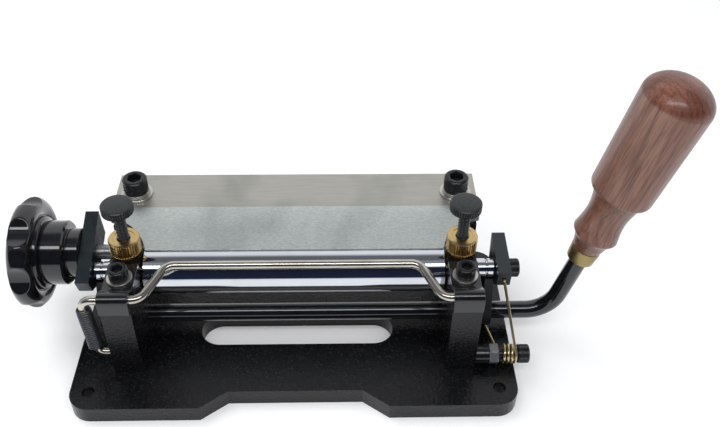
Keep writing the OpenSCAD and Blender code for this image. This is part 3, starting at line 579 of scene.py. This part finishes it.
knob = {"armFace": -111.8, "y": 14.837, "z": 50.962, "bore": 4.1, "sleeve": 7.0,
        "sleeveRadius": 12.75, "back": 19.0, "collarRadius": 17.0, "radius": 29.5,
        "thickness": 17.0, "rim": 6.0, "lobes": 7, "scoop": 13.0, "scoopOut": 39.0}
knobOrigin = np.array([knob["armFace"], knob["y"], knob["z"]])


# a closed section: sleeve by the arm, collar under the knob, and the bore
def hubProfile():
    bore, length, top = knob["bore"], knob["sleeve"], knob["back"]
    sleeve, collar = knob["sleeveRadius"], knob["collarRadius"]
    return [(0.1, bore), (0.1, sleeve - 0.45), (0.5, sleeve), (length - 0.1, sleeve),
            (length, sleeve + 0.65), (length, collar - 1.1), (length + 0.9, collar),
            (top - 0.6, collar), (top, collar - 0.6), (top, bore)]


# back recess, a round rim and a face that rises slowly to the middle
def knobProfile():
    rim, top = knob["rim"], knob["thickness"]
    a = np.radians(np.linspace(-125, 62, 44))
    edge = np.stack([7 + rim * np.sin(a), knob["radius"] - rim + rim * np.cos(a)], -1)
    back = np.array([(0.0, knob["bore"]), (0.0, 18.7), (0.4, 19.1), (2.3, 19.5), (2.4, 20.0)])
    face = np.array([(top - 3.4, 22.6), (top - 2, 18.6), (top - 1.1, 15.6), (top - 0.6, 12.5),
                     (top - 0.25, 8.0), (top, 3.0), (top, 0.0)])
    return np.concatenate([back, edge, face])


# each scoop is a circle outside the rim: its near side's distance from the axis at an angle,
# then a soft minimum of that and the rim; only the rim is cut
def scooped(radius, angle):
    step = 2 * pi / knob["lobes"]
    off = angle % step - step / 2
    inside = np.clip(knob["scoop"] ** 2 - (knob["scoopOut"] * np.sin(off)) ** 2, 0, None)
    reach = np.where(inside > 0, knob["scoopOut"] * np.cos(off) - np.sqrt(inside), 60.0)
    soft = 0.5
    gap = np.clip(0.5 + 0.5 * (reach - radius) / soft, 0, 1)
    low = reach * (1 - gap) + radius * gap - soft * gap * (1 - gap)
    return np.where(radius > 20, low / np.maximum(radius, 1e-9), 1.0)


makePiece("knob_collar", [(turned(hubProfile(), knobOrigin, alongMinusX, 128), True)],
          knobBlack, ["knob_hub"], "lock_knob", 0.25)
knobPoints = turned(knobProfile(), knobOrigin - np.array([knob["back"], 0, 0]), alongMinusX,
                    knob["lobes"] * 48, scooped)
makePiece("knob_body", [(knobPoints, False)],
          knobBlack, ["star_knob"], "lock_knob", sharpAngle=60)
print("knob ready")


# screws: knurled head, hex socket, plain shank

# radius of a hexagon of inner radius 1 at each angle
def hexagon(angle):
    return 1 / np.cos((angle + pi / 6) % (pi / 3) - pi / 6)


# rows give the distance along, the radius, the share of a hexagon and whether it is knurled;
# they run from the shank's end up the head, over its rim and down into the socket
def capScrew(d, length, origin, axes=upright):
    columns, teeth, groove = 144, 36, 0.035
    shank, head, socket = 0.5 * d, 0.82 * d, 0.42 * d
    rows = np.array([
        (-length, shank - 0.4, 0, 0), (-length + 0.4, shank, 0, 0), (-0.02, shank, 0, 0),
        (0, head - 0.25, 0, 0), (0.25, head, 0, 0), (0.12 * d, head, 0, 0),
        (0.13 * d, head, 0, 1), (0.80 * d, head, 0, 1), (0.81 * d, head, 0, 0),
        (0.90 * d, head, 0, 0), (0.97 * d, head - 0.06 * d, 0, 0), (d, head - 0.12 * d, 0, 0),
        (d, socket + 0.12 * d, 0, 0), (0.975 * d, socket + 0.03 * d, 0.8, 0),
        (0.93 * d, socket, 1, 0), (0.5 * d, socket, 1, 0), (0.44 * d, 0.05, 0, 0)])
    knurl = groove * (np.arange(columns) * teeth * 2 // columns % 2)
    sixSided = 1 + rows[:, 2:3] * (hexagon(fullTurn(columns)) - 1)
    return rings(rows[:, 1:2] * sixSided * (1 - rows[:, 3:4] * knurl), rows[:, 0], origin, axes)


# ring of rectangular section with broken edges
def flatRing(inner, outer, thick, origin):
    e = 0.15
    profile = [(0, inner + e), (0, outer - e), (e, outer), (thick - e, outer), (thick, outer - e),
               (thick, inner + e), (thick - e, inner), (e, inner)]
    return turned(profile, origin, upright, 72)


# the pairs on top: screw size and length, place of the right one, height of what is under its
# head, and the flat washer's inner radius, outer radius and thickness
topPairs = {"blade": {"d": 8, "length": 20, "place": (87.0, 45.6, 65.0), "stack": 3.5,
                      "washer": (4.2, 8.48, 1.5)},
            "clip": {"d": 6, "length": 13, "place": (86.0, -15.5, 61.6), "stack": 1.2,
                     "washer": (3.2, 6.36, 1.2)}}
for kind, pair in topPairs.items():
    x, y, z = pair["place"]
    makePiece(kind + "_cap_screws",
              [(capScrew(pair["d"], pair["length"], (s * x, y, z + pair["stack"])), False)
               for s in sides], oxide, [kind + "_screws"], "frame", sharpAngle=28)
    makePiece(kind + "_flat_washers",
              [(flatRing(*pair["washer"], (s * x, y, z)), True) for s in sides],
              washerSteel, [kind + "_washers"], "frame")

# the other screws: size, length, places of their heads and direction
twist = {"y": -28.5, "z": 16.5, "coilStart": 107.75, "coilEnd": 114.55, "radius": 4.5,
         "wire": 0.75, "headX": 115.9, "backTurn": -73.26, "frontTurn": -1298.27,
         "nose": [(108.3, -8.0, 49.7), (108.3, -2.8, 50.23)], "noseBend": 1.2,
         "backTip": (101.5, -9.55, 17.5)}
footPlaces = [(s * 86.0, y, 6.4) for s in sides for y in (-15.0, 37.0)]
armPlace = (111.8, roller["axisY"], roller["axisZ"])
twistPlace = (twist["headX"], twist["y"], twist["z"])
otherScrews = {
    "foot_cap_screws": ("upright_bolts", "frame", 6, 16, footPlaces, alongMinusZ),
    "arm_cap_screw": ("right_arm_screw", "carriage", 6, 21, [armPlace], alongX),
    "twist_cap_bolt": ("torsion_bolt", "frame", 6, 32.4, [twistPlace], alongX)}
for name, (node, body, d, length, places, axes) in otherScrews.items():
    makePiece(name, [(capScrew(d, length, place, axes), False) for place in places],
              oxide, [node], body, sharpAngle=28)
print("screws ready")


# adjusting screws with knurled heads, and their brass lock nuts

adjuster = {"x": 86.0, "y": 4.5, "foot": 53.75, "head": 88.0, "headRadius": 8.0,
            "headThick": 5.0, "threadRadius": 3.0, "pitch": 2.0, "threadDepth": 0.60,
            "headTeeth": 40, "headKnurl": 0.6, "nutFoot": 60.05, "nutStep": 2.4, "nutTop": 71.05,
            "nutRadius": 8.0, "nutBore": 3.06, "nutTeeth": 38, "nutKnurl": 0.85}


# one turned part with plain and knurled rows: the radius of a row flagged 1 drops into shallow
# vees between straight teeth
def knurledTurning(rows, origin, teeth, depth):
    along, radius, flag = np.array(rows, float).T
    angle = fullTurn(teeth * 8)
    vee = np.abs((angle * teeth / (2 * pi)) % 1 - 0.5) * 2
    drop = depth * np.clip(1.5 * vee - 0.5, 0, 1)
    return rings(radius[:, None] - flag[:, None] * drop, along, origin)


# thread: radius falls and rises once per pitch, and the crest climbs as it goes round
def threaded(low, high, origin):
    pitch = adjuster["pitch"]
    height = np.arange(low, high, pitch / 8)
    phase = (height[:, None] / pitch - fullTurn(36) / (2 * pi)) % 1
    valley = 1 - np.abs(2 * phase - 1)
    return rings(adjuster["threadRadius"] - adjuster["threadDepth"] * valley, height, origin)


def thumbRows():
    h, r, top = adjuster["head"], adjuster["headRadius"], adjuster["head"] + adjuster["headThick"]
    return [(h, 2.9, 0), (h, r - 0.9, 0), (h + 0.15, r - 0.5, 0), (h + 0.6, r, 0),
            (h + 0.7, r, 1), (top - 0.7, r, 1), (top - 0.6, r, 0), (top - 0.15, r - 0.5, 0),
            (top, r - 0.9, 0), (top, 0.02, 0)]


def nutRows():
    low, top, r, bore = (adjuster[k] for k in ("nutFoot", "nutTop", "nutRadius", "nutBore"))
    step = low + adjuster["nutStep"]
    return [(low, bore, 0), (low, r - 1.7, 0), (low + 0.2, r - 1.5, 0), (step - 0.05, r - 1.5, 0),
            (step, r - 1.2, 0), (step, r - 0.6, 0), (step + 0.5, r, 0), (step + 0.6, r, 1),
            (top - 1.0, r, 1), (top - 0.9, r, 0), (top - 0.2, r - 0.35, 0), (top, r - 0.8, 0),
            (top, 5.4, 0), (top - 0.25, 5.2, 0), (top - 0.25, 3.7, 0), (top - 0.7, bore, 0)]


for side, s in zip(("left", "right"), sides):
    foot = (s * adjuster["x"], adjuster["y"], 0)
    thread = threaded(adjuster["foot"], adjuster["head"] + 0.3, foot)
    head = knurledTurning(thumbRows(), foot, adjuster["headTeeth"], adjuster["headKnurl"])
    makePiece(side + "_thumb_turning", [(thread, False), (head, False)],
              thumbFinish, [side + "_thumb_screw"], side + "_thumb_screw", sharpAngle=30)
    nut = knurledTurning(nutRows(), foot, adjuster["nutTeeth"], adjuster["nutKnurl"])
    makePiece(side + "_nut_turning", [(nut, True)],
              brass, [side + "_lock_nut"], side + "_lock_nut", sharpAngle=30)
print("adjusters ready")


# guide wire, its anchor pin and the long spring

guide = {"y": -30.7, "z": 62.3, "radius": 2.25, "rise": 7.0, "reach": 21.0, "barCorner": 63.46,
         "pivotCorner": 73.25, "rightEnd": 93.5, "left": -101.5, "bend": 7.0, "crankBend": 5.0,
         "crankEnd": 51.3}
pin = {"y": -28.4, "z": 21.8, "radius": 2.0, "inside": -85.0, "bend": 4.5, "top": 31.3}
pull = {"low": 26.3, "high": 56.3, "turns": 20, "radius": 3.3, "wire": 0.48}


# a point of the wire: x across, out is its distance from the pivot line up the slope
def onWire(x, out):
    rise = radians(guide["rise"])
    return (x, guide["y"] + out * np.cos(rise), guide["z"] + out * np.sin(rise))


# spring: a helix whose centre line leans from the pin to the wire's crank
def pullPath():
    t = np.linspace(0, 1, pull["turns"] * 22)
    ease = t * t * (3 - 2 * t)
    angle = 2 * pi * pull["turns"] * t
    return np.stack([guide["left"] + pull["radius"] * np.cos(angle),
                     pin["y"] + (guide["y"] - pin["y"]) * ease + pull["radius"] * np.sin(angle),
                     pull["low"] + (pull["high"] - pull["low"]) * t], -1)


wirePath = bentPath([onWire(guide["rightEnd"], 0), onWire(guide["pivotCorner"], 0),
                     onWire(guide["barCorner"], guide["reach"]),
                     onWire(-guide["barCorner"], guide["reach"]),
                     onWire(-guide["pivotCorner"], 0), onWire(guide["left"], 0),
                     (guide["left"], guide["y"], guide["crankEnd"])],
                    [guide["bend"]] * 4 + [guide["crankBend"]], 16)
makePiece("guide_rod", [(swept(wirePath, guide["radius"], 32), False)],
          nickel, ["guide_wire"], "guide_wire", 0.4)
pinPath = bentPath([(pin["inside"], pin["y"], pin["z"]), (guide["left"], pin["y"], pin["z"]),
                    (guide["left"], pin["y"], pin["top"])], [pin["bend"]])
makePiece("anchor_rod", [(swept(pinPath, pin["radius"], 28), False)],
          nickel, ["anchor_pin"], "frame", 0.3)
pullSpring = makePiece("long_spring", [(swept(pullPath(), pull["wire"], 10, (0, 0, 1)), False)],
                       springBlack, ["extension_spring"], sharpAngle=60)
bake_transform(pullSpring)
print("guide wire ready")


# torsion spring: a coil on its bolt, a long leg to the arm's nose and a short one to the cam

# the coil's angle and its place along the bolt both grow evenly from the back leg to the front
def coilPath():
    t = np.linspace(0, 1, 110)
    angle = np.radians(twist["backTurn"] + (twist["frontTurn"] - twist["backTurn"]) * t)
    return np.stack([twist["coilStart"] + (twist["coilEnd"] - twist["coilStart"]) * t,
                     twist["y"] + twist["radius"] * np.cos(angle),
                     twist["z"] + twist["radius"] * np.sin(angle)], -1)


def twistPiece(name, path):
    return makePiece(name, [(swept(path, twist["wire"], 14, (1, 0, 0)), False)],
                     zinc, ["torsion_spring"], sharpAngle=60)


coil = coilPath()
legStart = coil[-1] + 0.6 * unit(coil[-1] - coil[-2])
frontLeg = twistPiece("twist_coil", np.concatenate(
    [coil, bentPath([legStart, *twist["nose"]], [twist["noseBend"]], 8)]))
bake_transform(frontLeg)
t = np.linspace(0, 1, 14)[:, None]
backLeg = twistPiece("twist_back_leg", coil[0] + (np.array(twist["backTip"]) - coil[0]) * t)
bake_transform(backLeg)
print("torsion spring ready")


# the CAD nodes that keep their shape get their finish

plainNodes = {"roller_bushes": bronze, "knob_stud": nutSteel, "cam_set_screws": oxide}
for node, finish in plainNodes.items():
    nodes[node].data.materials.clear()
    nodes[node].data.materials.append(finish)


# floor, lamps and camera

def calc(tree, operation, *values):
    node = tree.nodes.new("ShaderNodeMath")
    node.operation = operation
    for socket, value in zip(node.inputs, values):
        feed(tree, value, socket)
    return node.outputs[0]


def glow(tree, color, strength):
    node = tree.nodes.new("ShaderNodeBackground")
    feed(tree, color, node.inputs["Color"])
    node.inputs["Strength"].default_value = strength
    return node.outputs[0]


def mixShader(tree, factor, a, b):
    node = tree.nodes.new("ShaderNodeMixShader")
    for socket, value in zip(node.inputs, (factor, a, b)):
        link(tree, value, socket)
    return node.outputs[0]


# a wide disc; the lift is a little light of its own that the camera and gloss see, so that it
# meets the white behind it and still keeps the object's shadow
def stageFloor():
    values = {"reach": 9.0, "corners": 96, "color": (0.88, 0.885, 0.89), "lift": 0.13}
    mesh = bpy.data.meshes.new("floor")
    angle = fullTurn(values["corners"])
    rim = values["reach"] * np.stack([np.cos(angle), np.sin(angle), 0 * angle], -1)
    mesh.from_pydata(rim.tolist(), [], [list(range(values["corners"]))])
    floor = addObject("floor", mesh)
    material, tree, shader = startFinish("pale floor", values["color"], 0.6)
    paths = tree.nodes.new("ShaderNodeLightPath")
    seen = calc(tree, "MAXIMUM", paths.outputs["Is Camera Ray"], paths.outputs["Is Glossy Ray"])
    shader.inputs["Emission Color"].default_value = (1, 1, 1, 1)
    link(tree, calc(tree, "MULTIPLY", seen, values["lift"]), shader.inputs["Emission Strength"])
    mesh.materials.append(material)


# one left out of gloss lights the object without showing in its bright parts
def lamp(name, place, aim, size, power, inGloss=True):
    light = bpy.data.lights.new(name, "AREA")
    light.shape = "RECTANGLE"
    light.size, light.size_y = size
    light.energy = power
    thing = addObject(name, light)
    thing.location = place
    thing.visible_glossy = inGloss
    thing.rotation_euler = (Vector(aim) - Vector(place)).to_track_quat("-Z", "Y").to_euler()


# white for the camera and soft for what it lights; gloss sees a room, given from the front over
# the top to the back: dark blue in front, two dim strips, dim overhead, pale behind
def stageWorld():
    values = {"room": [(0.0, (0.014, 0.022, 0.055)), (0.09, (0.012, 0.018, 0.040)),
                       (0.26, (0.01, 0.012, 0.02)), (0.30, (0.30, 0.31, 0.34)),
                       (0.35, (0.10, 0.11, 0.13)), (0.42, (0.30, 0.31, 0.33)),
                       (0.48, (0.12, 0.125, 0.14)), (0.60, (0.14, 0.145, 0.16)),
                       (0.68, (0.85, 0.86, 0.88)), (1.0, (0.80, 0.80, 0.81))],
              "roomStrength": 1.15, "soft": (0.95, 0.97, 1.0), "softStrength": 0.62}
    world = bpy.data.worlds.new("studio")
    bpy.context.scene.world = world
    world.use_nodes = True
    tree = world.node_tree
    tree.nodes.clear()
    way = tree.nodes.new("ShaderNodeTexCoord").outputs["Generated"]
    ahead = calc(tree, "MULTIPLY", measure(tree, way, "Y"), -1.0)
    height = calc(tree, "ARCTAN2", measure(tree, way, "Z"), ahead)
    room = ramp(tree, calc(tree, "DIVIDE", height, pi), values["room"])
    paths = tree.nodes.new("ShaderNodeLightPath")
    lit = mixShader(tree, paths.outputs["Is Glossy Ray"],
                    glow(tree, values["soft"], values["softStrength"]),
                    glow(tree, room, values["roomStrength"]))
    seen = mixShader(tree, paths.outputs["Is Camera Ray"], lit, glow(tree, (1, 1, 1), 1.0))
    out = tree.nodes.new("ShaderNodeOutputWorld")
    link(tree, seen, out.inputs["Surface"])


# the fitted view: turned by yaw, tipped by pitch, leaned by roll, its lens for a 36 mm sensor
def stageCamera():
    view = {"yaw": radians(1.96), "pitch": radians(41.26), "roll": radians(0.94),
            "place": (0.02252, -0.31430, 0.36582), "lens": 42.635}
    sy, cy = np.sin(view["yaw"]), np.cos(view["yaw"])
    sp, cp = np.sin(view["pitch"]), np.cos(view["pitch"])
    sr, cr = np.sin(view["roll"]), np.cos(view["roll"])
    ahead = np.array([sy * cp, cy * cp, -sp])
    right = np.array([cy, -sy, 0])
    up = np.cross(right, ahead)
    turn = np.stack([right * cr + up * sr, -right * sr + up * cr, -ahead], 1)
    data = bpy.data.cameras.new("camera")
    data.lens = view["lens"]
    data.sensor_width = 36
    data.clip_start = 0.01
    camera = addObject("camera", data)
    camera.matrix_world = Matrix.Translation(view["place"]) @ Matrix(turn.tolist()).to_4x4()
    bpy.context.scene.camera = camera


stageFloor()
stageWorld()
lamp("key", (-0.55, 0.35, 1.1), (0, 0, 0.03), (0.9, 0.9), 6.5, inGloss=False)
lamp("fill", (0.5, -0.9, 0.9), (0, 0, 0.03), (0.9, 0.5), 2.0, inGloss=False)
lamp("tube", (0, -0.58, 1.08), (0, 0, 0.03), (1.2, 0.20), 4.8)
stageCamera()
bpy.context.scene.view_settings.view_transform = "Standard"
bpy.context.view_layer.update()
